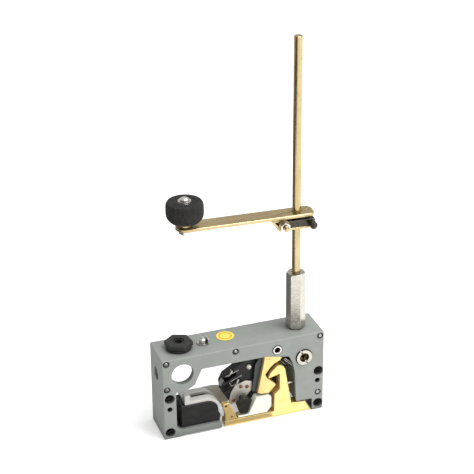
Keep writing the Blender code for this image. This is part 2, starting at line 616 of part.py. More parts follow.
def make_hook_spring():
    """A torsion spring round the pivot pin, with one leg against the ceiling and one leg to the right."""
    wire, coil, turns, pitch = 0.45, 3.2, 2.75, 1.2
    steps_per_turn = 16
    count = int(turns * steps_per_turn)
    route = [(HOOK_PIVOT[0] - 8.0, 16.5, HOOK_PIVOT[1] + coil)]
    for step in range(count + 1):
        turn = pi / 2 + 2 * pi * step / steps_per_turn
        route.append((HOOK_PIVOT[0] + coil * cos(turn), 16.5 + pitch * step / steps_per_turn,
                      HOOK_PIVOT[1] + coil * sin(turn)))
    route.append((129.0, route[-1][1], 44.0))
    curve = bpy.data.curves.new("hook_spring", "CURVE")
    curve.dimensions = "3D"
    curve.bevel_depth = wire * MM
    curve.bevel_resolution = 2
    curve.use_fill_caps = True
    spline = curve.splines.new("POLY")
    spline.points.add(len(route) - 1)
    for point, place in zip(spline.points, route):
        point.co = (*(scaled(place) - scaled(route[0])), 1)
    spring = bpy.data.objects.new("hook_spring", curve)
    curve.materials.append(BRIGHT_STEEL)
    PARTS.objects.link(spring)
    spring.parent = frame
    spring.location = scaled(route[0])


def make_stop_pin():
    rod_shape("stop_pin", (125.6, 6.0, 32.2), 10.2, 1.05, ALONG_X, BRIGHT_STEEL, steps=SMALL_STEPS)


# ---------------------------------------------------------------- shaft, coupling and rod

CAM_LOW = 60.8
CAM_HIGH = 66.0
CAM_REST_ANGLE = radians(20.0)
CAM_REACH = 11.8


def make_shaft():
    rod_shape("shaft", (SHAFT_X, MIDDLE_Y, BUSH_SEAT_FLOOR + 0.5), 88.0, SHAFT_RADIUS, ALONG_Z,
              BRIGHT_STEEL, "shaft")
    for name, low, length in (("lower_bush", BUSH_SEAT_FLOOR + 0.3, 14.0),
                              ("upper_bush", 71.0, HEIGHT - 71.2)):
        tube(name, (SHAFT_X, MIDDLE_Y, low), length, BUSH_SEAT_RADIUS - ASSEMBLY_GAP,
             SHAFT_RADIUS + RUNNING_GAP, material=GOLD_PASSIVATE)


def make_cam():
    """A ring on the shaft with a nose that sweeps over the hook's tongue."""
    cam = tube("hook_cam", (SHAFT_X, MIDDLE_Y, CAM_LOW), CAM_HIGH - CAM_LOW, 7.6,
               SHAFT_RADIUS + ASSEMBLY_GAP, material=DARK_STEEL, body="shaft")
    toward = (-cos(CAM_REST_ANGLE), sin(CAM_REST_ANGLE))
    side = (-toward[1], toward[0])
    half_width, root = 2.4, 6.4
    corners = [(root, -half_width), (CAM_REACH, -half_width), (CAM_REACH, half_width), (root, half_width)]
    outline = [(SHAFT_X + toward[0] * out + side[0] * across, MIDDLE_Y + toward[1] * out + side[1] * across)
               for out, across in corners]
    join(cam, extrude_outline("cam_nose", outline, CAM_LOW, CAM_HIGH, body="shaft", normal="Z"))


def make_coupling():
    """The hexagonal coupling, turned a little from the housing, chamfered at both ends."""
    low = HEIGHT + ASSEMBLY_GAP
    height = COUPLING_HEIGHT - ASSEMBLY_GAP
    corner = COUPLING_FLATS / 2 / cos(pi / 6)
    coupling = rod_shape("hex_coupling", (SHAFT_X, MIDDLE_Y, low), height, corner, roll=radians(8), steps=6,
                         material=NICKEL, body="shaft")
    over = 1.0
    chamfer = 1.5
    waist = corner + 0.2
    neck = waist - chamfer - over
    tool = turned("coupling_chamfer", [(0, height + over), (neck, height + over), (waist, height - chamfer),
                                       (waist, chamfer), (neck, -over), (0, -over)],
                  (SHAFT_X, MIDDLE_Y, low), body="shaft")
    cut(coupling, tool, operation="INTERSECT")
    cut(coupling,
        rod_shape("coupling_shaft_cut", (SHAFT_X, MIDDLE_Y, HEIGHT - 1), 22,
                  SHAFT_RADIUS + ASSEMBLY_GAP, body="shaft"),
        rod_shape("coupling_rod_cut", (SHAFT_X, MIDDLE_Y, HEIGHT + COUPLING_HEIGHT - 30), 31,
                  ROD_RADIUS + RUNNING_GAP, body="shaft"),
        rod_shape("coupling_screw_cut", (SHAFT_X, MIDDLE_Y + 3, HEIGHT + 46), 10, 2.3, ALONG_Y,
                  body="shaft", steps=SMALL_STEPS))
    screw = rod_shape("coupling_set_screw", (SHAFT_X, MIDDLE_Y + ROD_RADIUS + 0.4, HEIGHT + 46), 4.2, 2.0,
                      ALONG_Y, DARK_STEEL, "shaft", SMALL_STEPS)
    cut(screw, rod_shape("set_screw_key_cut", (SHAFT_X, MIDDLE_Y + 7, HEIGHT + 46), 4, 1.1, ALONG_Y,
                         body="shaft", steps=6))


def make_rod():
    bottom = HEIGHT + COUPLING_HEIGHT - 28
    chamfer = 0.6
    length = ROD_TOP - bottom
    turned("rod", [(0, length), (ROD_RADIUS - chamfer, length), (ROD_RADIUS, length - chamfer),
                   (ROD_RADIUS, 0), (0, 0)],
           (SHAFT_X, MIDDLE_Y, bottom), ALONG_Z, ZINC_YELLOW, "rod")


# ---------------------------------------------------------------- arm and its clamp

ARM_UNDER = ARM_TOP - ARM_THICKNESS
ARM_END = 15.5
SLIT_LEFT = 16.0
SLIT_RIGHT = 13.0
CLAMP_BOLT_BACK = 14.6
CLAMP_SCREW_BACK = -11.4
CLAMP_LEVEL = 196.5
JAW_LOW = 193.2
JAW_HIGH = 199.6


def make_arm():
    half = ARM_WIDTH / 2
    corner = 6.0
    right = SHAFT_X + ARM_END - corner
    outline = [*arc((ROLLER_X, MIDDLE_Y), half, 90, 270, 14),
               *arc((right, MIDDLE_Y - half + corner), corner, -90, 0, 5),
               *arc((right, MIDDLE_Y + half - corner), corner, 0, 90, 5)]
    arm = extrude_outline("arm_bar", outline, ARM_UNDER, ARM_TOP, ZINC_YELLOW, "arm", "Z")
    bevel(arm, 0.4, segments=1, angle=60)
    slit_half = 0.6
    cut(arm,
        rod_shape("arm_rod_cut", (SHAFT_X, MIDDLE_Y, ARM_UNDER - 1), 5, ROD_RADIUS + RUNNING_GAP, body="arm"),
        box("arm_slit_cut", (SHAFT_X - SLIT_LEFT, MIDDLE_Y - slit_half, ARM_UNDER - 1),
            (SHAFT_X + SLIT_RIGHT, MIDDLE_Y + slit_half, ARM_TOP + 1), body="arm"),
        rod_shape("arm_axle_cut", (ROLLER_X, MIDDLE_Y, ARM_UNDER - 1), 5, 3.3, body="arm", steps=32))


def make_clamp_strap():
    """A bent strip under the arm: a flange, a slanted web and a strip that the rod goes through."""
    sheet = 2.2
    x = SHAFT_X
    outline = [(x - 27.0, 202.2), (x - 12.0, 202.2), (x - 12.0, 202.2 - sheet), (x - 23.0, 202.2 - sheet),
               (x - 16.0, 192.8), (x + 15.0, 192.8), (x + 15.0, 192.8 - sheet), (x - 19.0, 192.8 - sheet)]
    strap = extrude_outline("clamp_strap", outline, MIDDLE_Y - 8.0, MIDDLE_Y + 8.0, ZINC_YELLOW, "arm")
    bevel(strap, 0.3, segments=1)
    cut(strap, rod_shape("strap_rod_cut", (SHAFT_X, MIDDLE_Y, 188), 8, ROD_RADIUS + RUNNING_GAP, body="arm"))


def make_clamp_jaws():
    """Two jaws grip the rod from the front and from the back."""
    outline = [(SHAFT_X - 16.0, JAW_LOW), (SHAFT_X + 15.4, JAW_LOW), (SHAFT_X + 15.4, JAW_HIGH),
               (SHAFT_X - 21.0, JAW_HIGH)]
    for name, side in (("clamp_jaw_front", -1), ("clamp_jaw_rear", 1)):
        faces = sorted((MIDDLE_Y + side * 0.8, MIDDLE_Y + side * 8.0))
        jaw = extrude_outline(name, outline, *faces, DARK_STEEL, "arm")
        bevel(jaw, 0.5, segments=1)
        cut(jaw, rod_shape(name + "_rod_cut", (SHAFT_X, MIDDLE_Y, JAW_LOW - 1), 8, ROD_RADIUS + 0.2,
                           body="arm"))
        for back in (CLAMP_BOLT_BACK, CLAMP_SCREW_BACK):
            cut(jaw, rod_shape(f"{name}_bolt_cut_{back}", (SHAFT_X - back, MIDDLE_Y - 12, CLAMP_LEVEL), 24,
                               2.4, ALONG_Y, steps=SMALL_STEPS, body="arm"))


def make_clamp_bolt():
    """The zinc bolt at the left end of the jaws, with its nut and washer in front."""
    x = SHAFT_X - CLAMP_BOLT_BACK
    profile = [(0, 26.6), (1.9, 26.6), (2.2, 26.0), (2.2, 0), (4.6, 0), (4.6, -3.2), (4.0, -3.8), (0, -3.8)]
    turned("clamp_bolt", profile, (x, MIDDLE_Y + 8.3, CLAMP_LEVEL), -ALONG_Y, ZINC_YELLOW, "arm", SMALL_STEPS)
    tube("clamp_washer", (x, MIDDLE_Y - 8.3, CLAMP_LEVEL), 1.0, 5.4, 2.5, -ALONG_Y, ZINC_YELLOW, "arm",
         SMALL_STEPS)
    nut = rod_shape("clamp_nut", (x, MIDDLE_Y - 9.6, CLAMP_LEVEL), 4.0, 5.0, -ALONG_Y, BRIGHT_STEEL,
                    "arm", 6)
    cut(nut, rod_shape("clamp_nut_cut", (x, MIDDLE_Y - 15, CLAMP_LEVEL), 8, 2.5, ALONG_Y, steps=SMALL_STEPS,
                       body="arm"))


def make_clamp_screw():
    """The black screw that draws the jaws together: its long knurled sleeve stands out to the front."""
    x = SHAFT_X - CLAMP_SCREW_BACK
    profile = [(0, 26.8), (1.2, 26.8), (3.4, 25.2), (3.6, 24.2), (3.6, 17.2), (2.0, 17.2), (2.0, -2.8),
               (0, -2.8)]
    turned("clamp_screw", profile, (x, MIDDLE_Y + 8.3, CLAMP_LEVEL), -ALONG_Y, DARK_STEEL, "arm", SMALL_STEPS)
    nut = rod_shape("clamp_screw_nut", (x, MIDDLE_Y + 8.3, CLAMP_LEVEL), 3.2, 4.2, ALONG_Y, DARK_STEEL,
                    "arm", 6)
    cut(nut, rod_shape("screw_nut_cut", (x, MIDDLE_Y + 7, CLAMP_LEVEL), 6, 2.3, ALONG_Y, steps=SMALL_STEPS,
                       body="arm"))


# ---------------------------------------------------------------- roller

def make_roller():
    spacer_height = 5.0
    bottom = ARM_TOP + ASSEMBLY_GAP + spacer_height + ASSEMBLY_GAP
    widest_share = 0.62
    steps = 8
    bulge = []
    for step in range(steps + 1):
        share = 1 - step / steps
        above = share > widest_share
        off = (share - widest_share) / (1 - widest_share if above else widest_share)
        end_radius = ROLLER_TOP_RADIUS if above else ROLLER_FOOT_RADIUS
        bulge.append((ROLLER_RADIUS - (ROLLER_RADIUS - end_radius) * off ** 4,
                      0.8 + (ROLLER_HEIGHT - 1.6) * share))
    hub_outer = 6.2
    bore = 3.0 + RUNNING_GAP
    profile = [(hub_outer + 0.3, ROLLER_HEIGHT), (ROLLER_TOP_RADIUS - 1.0, ROLLER_HEIGHT), *bulge,
               (ROLLER_FOOT_RADIUS - 1.0, 0), (hub_outer + 0.3, 0)]
    turned("roller_tyre", profile, (ROLLER_X, MIDDLE_Y, bottom), ALONG_Z, BLACK_RUBBER, "roller", ring=True)
    tube("roller_hub", (ROLLER_X, MIDDLE_Y, bottom), ROLLER_HEIGHT, hub_outer, bore, ALONG_Z, BRIGHT_STEEL,
         "roller", ROUND_STEPS)
    tube("roller_spacer", (ROLLER_X, MIDDLE_Y, ARM_TOP + ASSEMBLY_GAP), spacer_height, 6.4, 3.3, ALONG_Z,
         ZINC_YELLOW, "arm", ROUND_STEPS)
    washer_low = bottom + ROLLER_HEIGHT + ASSEMBLY_GAP
    tube("roller_washer", (ROLLER_X, MIDDLE_Y, washer_low), 0.9, 6.0, 3.3, ALONG_Z, BRIGHT_STEEL, "arm", 32)
    head_low = washer_low + 1.2 - ARM_UNDER
    axle = [(0, head_low + 2.6), (2.6, head_low + 2.4), (4.2, head_low + 1.2), (4.2, head_low),
            (3.0, head_low), (3.0, -5.6), (0, -5.6)]
    turned("roller_axle", axle, (ROLLER_X, MIDDLE_Y, ARM_UNDER), ALONG_Z, BRIGHT_STEEL, "arm", ROUND_STEPS)
    nut = rod_shape("roller_axle_nut", (ROLLER_X, MIDDLE_Y, ARM_UNDER - 0.3), 4.0, 5.8, -ALONG_Z,
                    BRIGHT_STEEL, "arm", 6)
    cut(nut, rod_shape("axle_nut_cut", (ROLLER_X, MIDDLE_Y, ARM_UNDER - 6), 7, 3.3, ALONG_Z, body="arm",
                       steps=32))


make_housing()
make_rear_cover()
make_cover_pins()
make_cable_gland()
make_earth_screw()
make_sticker()
make_guide_sleeve()
make_release_bush()
make_contact_carrier()
make_terminal_bracket()
make_terminal_plate()
make_contact_block()
make_contact_bridge()
make_contact_lever()
make_strike()
make_strike_horn()
make_plunger()
make_hook()
make_hook_shield()
make_hook_pin()
make_hook_spring()
make_stop_pin()
make_shaft()
make_cam()
make_coupling()
make_rod()
make_arm()
make_clamp_strap()
make_clamp_jaws()
make_clamp_bolt()
make_clamp_screw()
make_roller()
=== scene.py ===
"""The looks of the limit switch: finer shapes, worn metal, paint, rubber and plastic, and a pale studio.

Small sizes are given in millimetres and turned into metres with MM. Every piece stands for one CAD node, or
is a detail that rides on the same body.
"""

import json
from math import cos, pi, radians, sin

import bmesh
import bpy
from mathutils import Matrix, Vector

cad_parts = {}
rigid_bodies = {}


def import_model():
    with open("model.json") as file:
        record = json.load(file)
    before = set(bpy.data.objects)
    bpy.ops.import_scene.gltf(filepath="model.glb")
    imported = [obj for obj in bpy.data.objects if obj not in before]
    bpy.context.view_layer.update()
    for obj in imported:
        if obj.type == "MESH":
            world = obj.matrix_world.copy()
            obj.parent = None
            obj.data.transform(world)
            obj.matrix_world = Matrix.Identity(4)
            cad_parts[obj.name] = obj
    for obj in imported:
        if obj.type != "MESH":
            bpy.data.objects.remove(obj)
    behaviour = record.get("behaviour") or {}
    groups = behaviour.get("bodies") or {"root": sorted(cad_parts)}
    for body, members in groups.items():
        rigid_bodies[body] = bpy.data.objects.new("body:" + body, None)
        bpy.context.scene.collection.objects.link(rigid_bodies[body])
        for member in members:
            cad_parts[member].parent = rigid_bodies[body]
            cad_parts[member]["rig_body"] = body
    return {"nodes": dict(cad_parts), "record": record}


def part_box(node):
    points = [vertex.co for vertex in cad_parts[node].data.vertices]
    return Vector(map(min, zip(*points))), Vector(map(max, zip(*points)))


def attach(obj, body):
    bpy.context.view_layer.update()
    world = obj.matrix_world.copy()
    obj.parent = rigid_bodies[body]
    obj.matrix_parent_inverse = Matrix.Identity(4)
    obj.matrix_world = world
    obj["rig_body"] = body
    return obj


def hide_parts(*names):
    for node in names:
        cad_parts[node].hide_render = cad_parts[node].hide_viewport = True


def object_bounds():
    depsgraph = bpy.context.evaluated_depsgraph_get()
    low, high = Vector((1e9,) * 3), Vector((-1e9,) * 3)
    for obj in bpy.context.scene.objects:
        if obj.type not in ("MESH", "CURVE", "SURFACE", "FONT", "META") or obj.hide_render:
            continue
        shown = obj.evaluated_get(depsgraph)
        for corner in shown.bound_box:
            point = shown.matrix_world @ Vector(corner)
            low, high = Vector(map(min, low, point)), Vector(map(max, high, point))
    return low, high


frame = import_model()
CAD_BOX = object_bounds()

MM = 0.001
SHARP_ANGLE = radians(32)
ROUND_STEPS = 96
SCREW_STEPS = 48

X_AXIS = Vector((1, 0, 0))
Y_AXIS = Vector((0, 1, 0))
Z_AXIS = Vector((0, 0, 1))

SLOT_OF = {row["node"]: row["material_slot"] for row in frame["record"]["subparts"]}
BODY_OF = {name: node["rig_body"] for name, node in frame["nodes"].items()}


# ---------------------------------------------------------------- shader tools

def put(tree, kind, inputs=None, **settings):
    """A shader node with its settings, and with its inputs set or linked."""
    made = tree.nodes.new(kind)
    for name, value in settings.items():
        setattr(made, name, value)
    for name, value in (inputs or {}).items():
        if isinstance(value, bpy.types.NodeSocket):
            tree.links.new(value, made.inputs[name])
        else:
            made.inputs[name].default_value = value
    return made


def position(tree, stretch=(1, 1, 1)):
    """The place on the piece in metres, squeezed along the axes that the detail runs along."""
    place = put(tree, "ShaderNodeTexCoord").outputs["Object"]
    return put(tree, "ShaderNodeMapping", {"Vector": place, "Scale": stretch}).outputs["Vector"]


def noise(tree, size_mm, stretch=(1, 1, 1), detail=4.0, roughness=0.55, distortion=0.0):
    """Noise whose lumps are about size_mm across."""
    return put(tree, "ShaderNodeTexNoise",
               {"Vector": position(tree, stretch), "Scale": 1 / (size_mm * MM), "Detail": detail,
                "Roughness": roughness, "Distortion": distortion}).outputs["Fac"]


def spread(tree, value, low, high, start=0.3, end=0.7):
    """A noise value between start and end turned into low to high."""
    ends = {"Value": value, "From Min": start, "From Max": end, "To Min": low, "To Max": high}
    return put(tree, "ShaderNodeMapRange", ends).outputs["Result"]


def times(tree, first, second):
    product = put(tree, "ShaderNodeMath", operation="MULTIPLY")
    for socket, value in zip(product.inputs, (first, second)):
        if isinstance(value, bpy.types.NodeSocket):
            tree.links.new(value, socket)
        else:
            socket.default_value = value
    return product.outputs["Value"]


def blend_colours(tree, share, first, second):
    """first where share is 0 and second where it is 1. Either may be a colour or a socket."""
    blender = put(tree, "ShaderNodeMix", data_type="RGBA")
    share_socket, first_socket, second_socket = blender.inputs[0], blender.inputs[6], blender.inputs[7]
    tree.links.new(share, share_socket)
    for socket, value in ((first_socket, first), (second_socket, second)):
        if isinstance(value, bpy.types.NodeSocket):
            tree.links.new(value, socket)
        else:
            socket.default_value = (*value, 1)
    return blender.outputs[2]


def convex_edges(tree, radius_mm, rounded):
    """1 on worn outer edges, 0 on flats and in corners."""
    flat = put(tree, "ShaderNodeNewGeometry").outputs["Normal"]
    turn = put(tree, "ShaderNodeVectorMath", operation="DOT_PRODUCT")
    tree.links.new(rounded, turn.inputs[0])
    tree.links.new(flat, turn.inputs[1])
    edge = spread(tree, turn.outputs["Value"], 0, 1, 0.985, 0.90)
    reach = {"Distance": 2 * radius_mm * MM}
    open_sky = put(tree, "ShaderNodeAmbientOcclusion", reach, samples=4).outputs["AO"]
    return times(tree, edge, spread(tree, open_sky, 0, 1, 0.55, 0.8))


def surface(name, colour, cloud_colour, cloud_mm, roughness, metallic=0.0, stretch=(1, 1, 1), grain_mm=0.3,
            grain_depth=0.01, grain_share=0.5, wear_colour=None, wear_share=0.8, hollow_shade_colour=None,
            hollow_shade_mm=5, hollow_shade_reach=0.62, edge_mm=0.3, specular=0.5, lines=None, spots=None):
    """A finish made of clouded colour, fine grain, uneven gloss, rounded and worn edges, and painted shade in
    corners.

    Painted shade: places that see less than the given share of the sky within the given distance are darkened
    towards the hollow colour.
    lines = (size_mm, stretch, depth_mm) adds drawn or turned lines.
    spots = (size_mm, colour, share) adds stains.
    """
    material = bpy.data.materials.new(name)
    material.use_nodes = True
    tree = material.node_tree
    shader = tree.nodes["Principled BSDF"]
    shader.inputs["Metallic"].default_value = metallic
    shader.inputs["Specular IOR Level"].default_value = specular

    clouds = noise(tree, cloud_mm, stretch, detail=5.0, roughness=0.6, distortion=0.4)
    shade = blend_colours(tree, spread(tree, clouds, 0, 1), colour, cloud_colour)
    if spots:
        size_mm, spot_colour, share = spots
        stain = spread(tree, noise(tree, size_mm, detail=3.0), 0, share, 0.60, 0.68)
        shade = blend_colours(tree, stain, shade, spot_colour)

    rounded = put(tree, "ShaderNodeBevel", {"Radius": edge_mm * MM}, samples=6).outputs["Normal"]
    if wear_colour:
        broken = spread(tree, noise(tree, 1.6, detail=6.0), 0, wear_share, 0.40, 0.60)
        worn = times(tree, convex_edges(tree, edge_mm, rounded), broken)
        shade = blend_colours(tree, worn, shade, wear_colour)
    # Painted shade: an ambient-occlusion mask darkens hollows, corners and gaps between parts towards the
    # hollow colour.
    if hollow_shade_colour:
        corner = put(tree, "ShaderNodeAmbientOcclusion", {"Distance": hollow_shade_mm * MM}, samples=6).outputs["AO"]
        shade = blend_colours(tree, spread(tree, corner, 0.95, 0, 0.12, hollow_shade_reach), shade, hollow_shade_colour)
    tree.links.new(shade, shader.inputs["Base Color"])

    low, high = roughness
    gloss = noise(tree, 2.2, stretch, detail=6.0, roughness=0.65)
    tree.links.new(spread(tree, gloss, low, high), shader.inputs["Roughness"])

    grain = put(tree, "ShaderNodeBump",
                {"Height": noise(tree, grain_mm, stretch, detail=3.0), "Strength": grain_share,
                 "Distance": grain_depth * MM, "Normal": rounded}).outputs["Normal"]
    if lines:
        line_mm, line_stretch, depth_mm = lines
        grain = put(tree, "ShaderNodeBump",
                    {"Height": noise(tree, line_mm, line_stretch, detail=4.0, roughness=0.7), "Strength": 0.6,
                     "Distance": depth_mm * MM, "Normal": grain}).outputs["Normal"]
    tree.links.new(grain, shader.inputs["Normal"])
    return material


# ---------------------------------------------------------------- finishes

ALONG_X = (0.04, 1, 1)
ALONG_Z = (1, 1, 0.03)

# In the finishes below, the colour given for hollows is painted shade: the ambient-occlusion mask lays it
# into corners, recesses and gaps between parts.
MATERIALS = {
    # The grey paint's near-black hollow colour, reaching 26 mm, is painted shade that blackens the inside of
    # the window and the pockets.
    "grey_paint": surface(
        "satin_grey_paint", (0.265, 0.285, 0.265), (0.295, 0.315, 0.29), 14, (0.42, 0.58), grain_mm=0.45,
        grain_depth=0.05, wear_colour=(0.46, 0.47, 0.44), wear_share=0.55, hollow_shade_colour=(0.012, 0.012, 0.011),
        hollow_shade_mm=26, hollow_shade_reach=0.80, edge_mm=0.8, spots=(5.0, (0.25, 0.265, 0.25), 0.35)),
    "rear_cover_paint": surface(
        "black_stoved_paint", (0.014, 0.014, 0.014), (0.024, 0.023, 0.022), 9, (0.45, 0.62), grain_mm=0.35,
        grain_depth=0.04, wear_colour=(0.30, 0.30, 0.29), wear_share=0.5),
    "black_plastic": surface(
        "moulded_black_plastic", (0.019, 0.019, 0.020), (0.032, 0.031, 0.030), 6, (0.30, 0.50), grain_mm=0.3,
        grain_depth=0.05, wear_colour=(0.13, 0.13, 0.125), wear_share=0.7, hollow_shade_colour=(0.008, 0.008, 0.008),
        specular=0.3),
    "slate_plastic": surface(
        "moulded_slate_plastic", (0.055, 0.064, 0.066), (0.072, 0.082, 0.082), 6, (0.38, 0.55), grain_mm=0.18,
        grain_depth=0.02, wear_colour=(0.16, 0.17, 0.17), hollow_shade_colour=(0.02, 0.02, 0.02)),
    "black_rubber": surface(
        "worn_black_rubber", (0.013, 0.013, 0.012), (0.030, 0.029, 0.027), 3.5, (0.62, 0.86), grain_mm=0.35,
        grain_depth=0.09, wear_colour=(0.085, 0.083, 0.078), wear_share=0.7, specular=0.25,
        spots=(2.2, (0.052, 0.050, 0.047), 0.45)),
    "white_nylon": surface(
        "natural_nylon", (0.80, 0.83, 0.72), (0.86, 0.88, 0.79), 5, (0.30, 0.45), grain_mm=0.25,
        grain_depth=0.01, hollow_shade_colour=(0.55, 0.50, 0.36)),
    "yellow_label": surface(
        "printed_yellow_film", (0.93, 0.72, 0.09), (0.95, 0.79, 0.16), 4, (0.38, 0.50), grain_mm=0.5,
        grain_depth=0.015, hollow_shade_colour=(0.6, 0.4, 0.05), edge_mm=0.1),
    "gold_passivate": surface(
        "gold_passivated_zinc", (0.95, 0.67, 0.23), (0.98, 0.78, 0.36), 9, (0.32, 0.48), metallic=0.7,
        grain_mm=0.6, grain_depth=0.03, wear_colour=(0.98, 0.86, 0.56), wear_share=0.7,
        hollow_shade_colour=(0.30, 0.14, 0.02), edge_mm=0.35, spots=(3.0, (0.90, 0.56, 0.15), 0.25)),
    "zinc_yellow": surface(
        "yellow_zinc_strip", (0.44, 0.33, 0.16), (0.68, 0.54, 0.30), 7, (0.20, 0.38), metallic=1.0,
        stretch=(0.22, 1, 1), grain_mm=0.5, grain_depth=0.012, wear_colour=(0.86, 0.80, 0.62),
        hollow_shade_colour=(0.16, 0.09, 0.03), lines=(0.25, ALONG_X, 0.012), spots=(4.0, (0.50, 0.40, 0.22), 0.4)),
    "nickel": surface(
        "clouded_nickel", (0.50, 0.475, 0.415), (0.62, 0.59, 0.52), 3.0, (0.13, 0.26), metallic=1.0,
        grain_mm=0.4, grain_depth=0.015, wear_colour=(0.90, 0.88, 0.82), hollow_shade_colour=(0.15, 0.12, 0.09),
        lines=(0.22, ALONG_Z, 0.010), spots=(2.4, (0.36, 0.335, 0.285), 0.75)),
    "bright_steel": surface(
        "bright_zinc_steel", (0.66, 0.65, 0.60), (0.78, 0.77, 0.72), 2.5, (0.20, 0.36), metallic=1.0,
        grain_mm=0.3, grain_depth=0.01, wear_colour=(0.92, 0.91, 0.88), hollow_shade_colour=(0.12, 0.10, 0.08)),
    "silver_plate": surface(
        "silvered_contact_strip", (0.78, 0.74, 0.65), (0.88, 0.85, 0.77), 4.0, (0.30, 0.44), metallic=0.75,
        grain_mm=0.35, grain_depth=0.012, wear_colour=(0.95, 0.93, 0.88), hollow_shade_colour=(0.32, 0.22, 0.13),
        spots=(3.0, (0.66, 0.58, 0.44), 0.35)),
    "copper_rivet": surface(
        "tarnished_copper", (0.30, 0.13, 0.08), (0.45, 0.22, 0.14), 1.2, (0.28, 0.50), metallic=0.95,
        grain_mm=0.25, grain_depth=0.02, wear_colour=(0.60, 0.36, 0.26), hollow_shade_colour=(0.06, 0.03, 0.02)),
    "dark_steel": surface(
        "oiled_black_steel", (0.050, 0.046, 0.038), (0.085, 0.078, 0.062), 3.0, (0.26, 0.48), metallic=0.8,
        grain_mm=0.3, grain_depth=0.02, wear_colour=(0.30, 0.28, 0.24), hollow_shade_colour=(0.012, 0.010, 0.008)),
}
# These finishes too lay their hollow colour into corners as painted shade; on the pins it paints a dark ring
# round each pin.
ROD_ZINC = surface(
    "yellow_zinc_drawn_rod", (0.46, 0.35, 0.17), (0.60, 0.48, 0.27), 9, (0.15, 0.27), metallic=1.0,
    stretch=(1, 1, 0.3), grain_mm=0.5, grain_depth=0.010, wear_colour=(0.88, 0.83, 0.66),
    lines=(0.3, ALONG_Z, 0.008), spots=(5.0, (0.36, 0.27, 0.13), 0.35))
PIN_STEEL = surface(
    "dull_pin_steel", (0.30, 0.30, 0.29), (0.46, 0.46, 0.44), 2.0, (0.28, 0.45), metallic=1.0, grain_mm=0.3,
    grain_depth=0.02, wear_colour=(0.80, 0.80, 0.77), hollow_shade_colour=(0.03, 0.03, 0.03), hollow_shade_mm=1.5)
BRONZED_STEEL = surface(
    "bronzed_lock_core", (0.060, 0.040, 0.014), (0.120, 0.085, 0.035), 2.0, (0.25, 0.42), metallic=0.9,
    grain_mm=0.3, grain_depth=0.02, wear_colour=(0.34, 0.26, 0.13), hollow_shade_colour=(0.012, 0.008, 0.004))
BRIGHT_TIN = surface(
    "tinned_terminal_plate", (0.70, 0.69, 0.65), (0.80, 0.79, 0.75), 5.0, (0.35, 0.50), metallic=0.35,
    grain_mm=0.4, grain_depth=0.02, wear_colour=(0.90, 0.89, 0.86))
ORANGE_INK = surface(
    "orange_printed_ring", (0.72, 0.33, 0.03), (0.80, 0.40, 0.05), 3.0, (0.38, 0.50), grain_mm=0.5,
    grain_depth=0.01)


# ---------------------------------------------------------------- shape tools

def show(piece, node=None, body=None, slot=None, material=None):
    """Give a piece its finish and its body, and let it stand for a CAD node."""
    slot = slot or SLOT_OF[node]
    piece.data.materials.clear()
    piece.data.materials.append(material or MATERIALS[slot])
    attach(piece, body or BODY_OF[node])
    if node:
        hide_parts(node)
    return piece


def add_mesh(name, shape):
    mesh = bpy.data.meshes.new(name)
    shape.to_mesh(mesh)
    shape.free()
    mesh.shade_smooth()
    mesh.set_sharp_from_angle(angle=SHARP_ANGLE)
    piece = bpy.data.objects.new(name, mesh)
    bpy.context.scene.collection.objects.link(piece)
    return piece


def soften(piece, edge_mm, segments=2):
    """Round the sharp edges."""
    bevel = piece.modifiers.new("soft_edges", "BEVEL")
    bevel.width = edge_mm * MM
    bevel.segments = segments
    bevel.limit_method = "ANGLE"
    bevel.angle_limit = SHARP_ANGLE
    even = piece.modifiers.new("even_shading", "WEIGHTED_NORMAL")
    even.keep_sharp = True
    return piece


def refined(node, material=None):
    """A copy of a CAD node with its triangles joined into smooth faces and its edges rounded."""
    edge_mm = 0.12
    shape = bmesh.new()
    shape.from_mesh(frame["nodes"][node].data)
    weld = 0.002 * MM
    bmesh.ops.remove_doubles(shape, verts=shape.verts[:], dist=weld)
    bmesh.ops.dissolve_limit(shape, angle_limit=radians(1), verts=shape.verts[:], edges=shape.edges[:])
    return show(soften(add_mesh("look_" + node, shape), edge_mm), node, material=material)


def turned(name, profile, base, axis=Z_AXIS, steps=ROUND_STEPS, ring=False):
    """A turned body from a (radius, height) outline in millimetres, standing at base along axis."""
    shape = bmesh.new()
    corners = [shape.verts.new((radius * MM, 0, height * MM)) for radius, height in profile]
    edges = [shape.edges.new(pair) for pair in zip(corners, corners[1:] + (corners[:1] if ring else []))]
    bmesh.ops.spin(shape, geom=corners + edges, angle=2 * pi, steps=steps, axis=Z_AXIS, cent=(0, 0, 0),
                   use_duplicate=False, use_merge=True)
    bmesh.ops.remove_doubles(shape, verts=shape.verts[:], dist=0.001 * MM)
    bmesh.ops.recalc_face_normals(shape, faces=shape.faces[:])
    place = Matrix.Translation(base) @ Z_AXIS.rotation_difference(axis).to_matrix().to_4x4()
    bmesh.ops.transform(shape, matrix=place, verts=shape.verts[:])
    return add_mesh(name, shape)


def block(name, low, high):
    """A box between two corners."""
    shape = bmesh.new()
    bmesh.ops.create_cube(shape, size=1)
    place = Matrix.Translation((low + high) / 2) @ Matrix.Diagonal((*(high - low), 1))
    bmesh.ops.transform(shape, matrix=place, verts=shape.verts[:])
    return add_mesh(name, shape)


def prism(name, outline, near, far):
    """An outline in the front plane, in metres along X and Z, given a depth from near to far."""
    shape = bmesh.new()
    front = [shape.verts.new((x, near, z)) for x, z in outline]
    back = [shape.verts.new((x, far, z)) for x, z in outline]
    count = len(outline)
    shape.faces.new(front)
    shape.faces.new(back[::-1])
    for index in range(count):
        after = (index + 1) % count
        shape.faces.new((front[after], front[index], back[index], back[after]))
    bmesh.ops.recalc_face_normals(shape, faces=shape.faces[:])
    return add_mesh(name, shape)


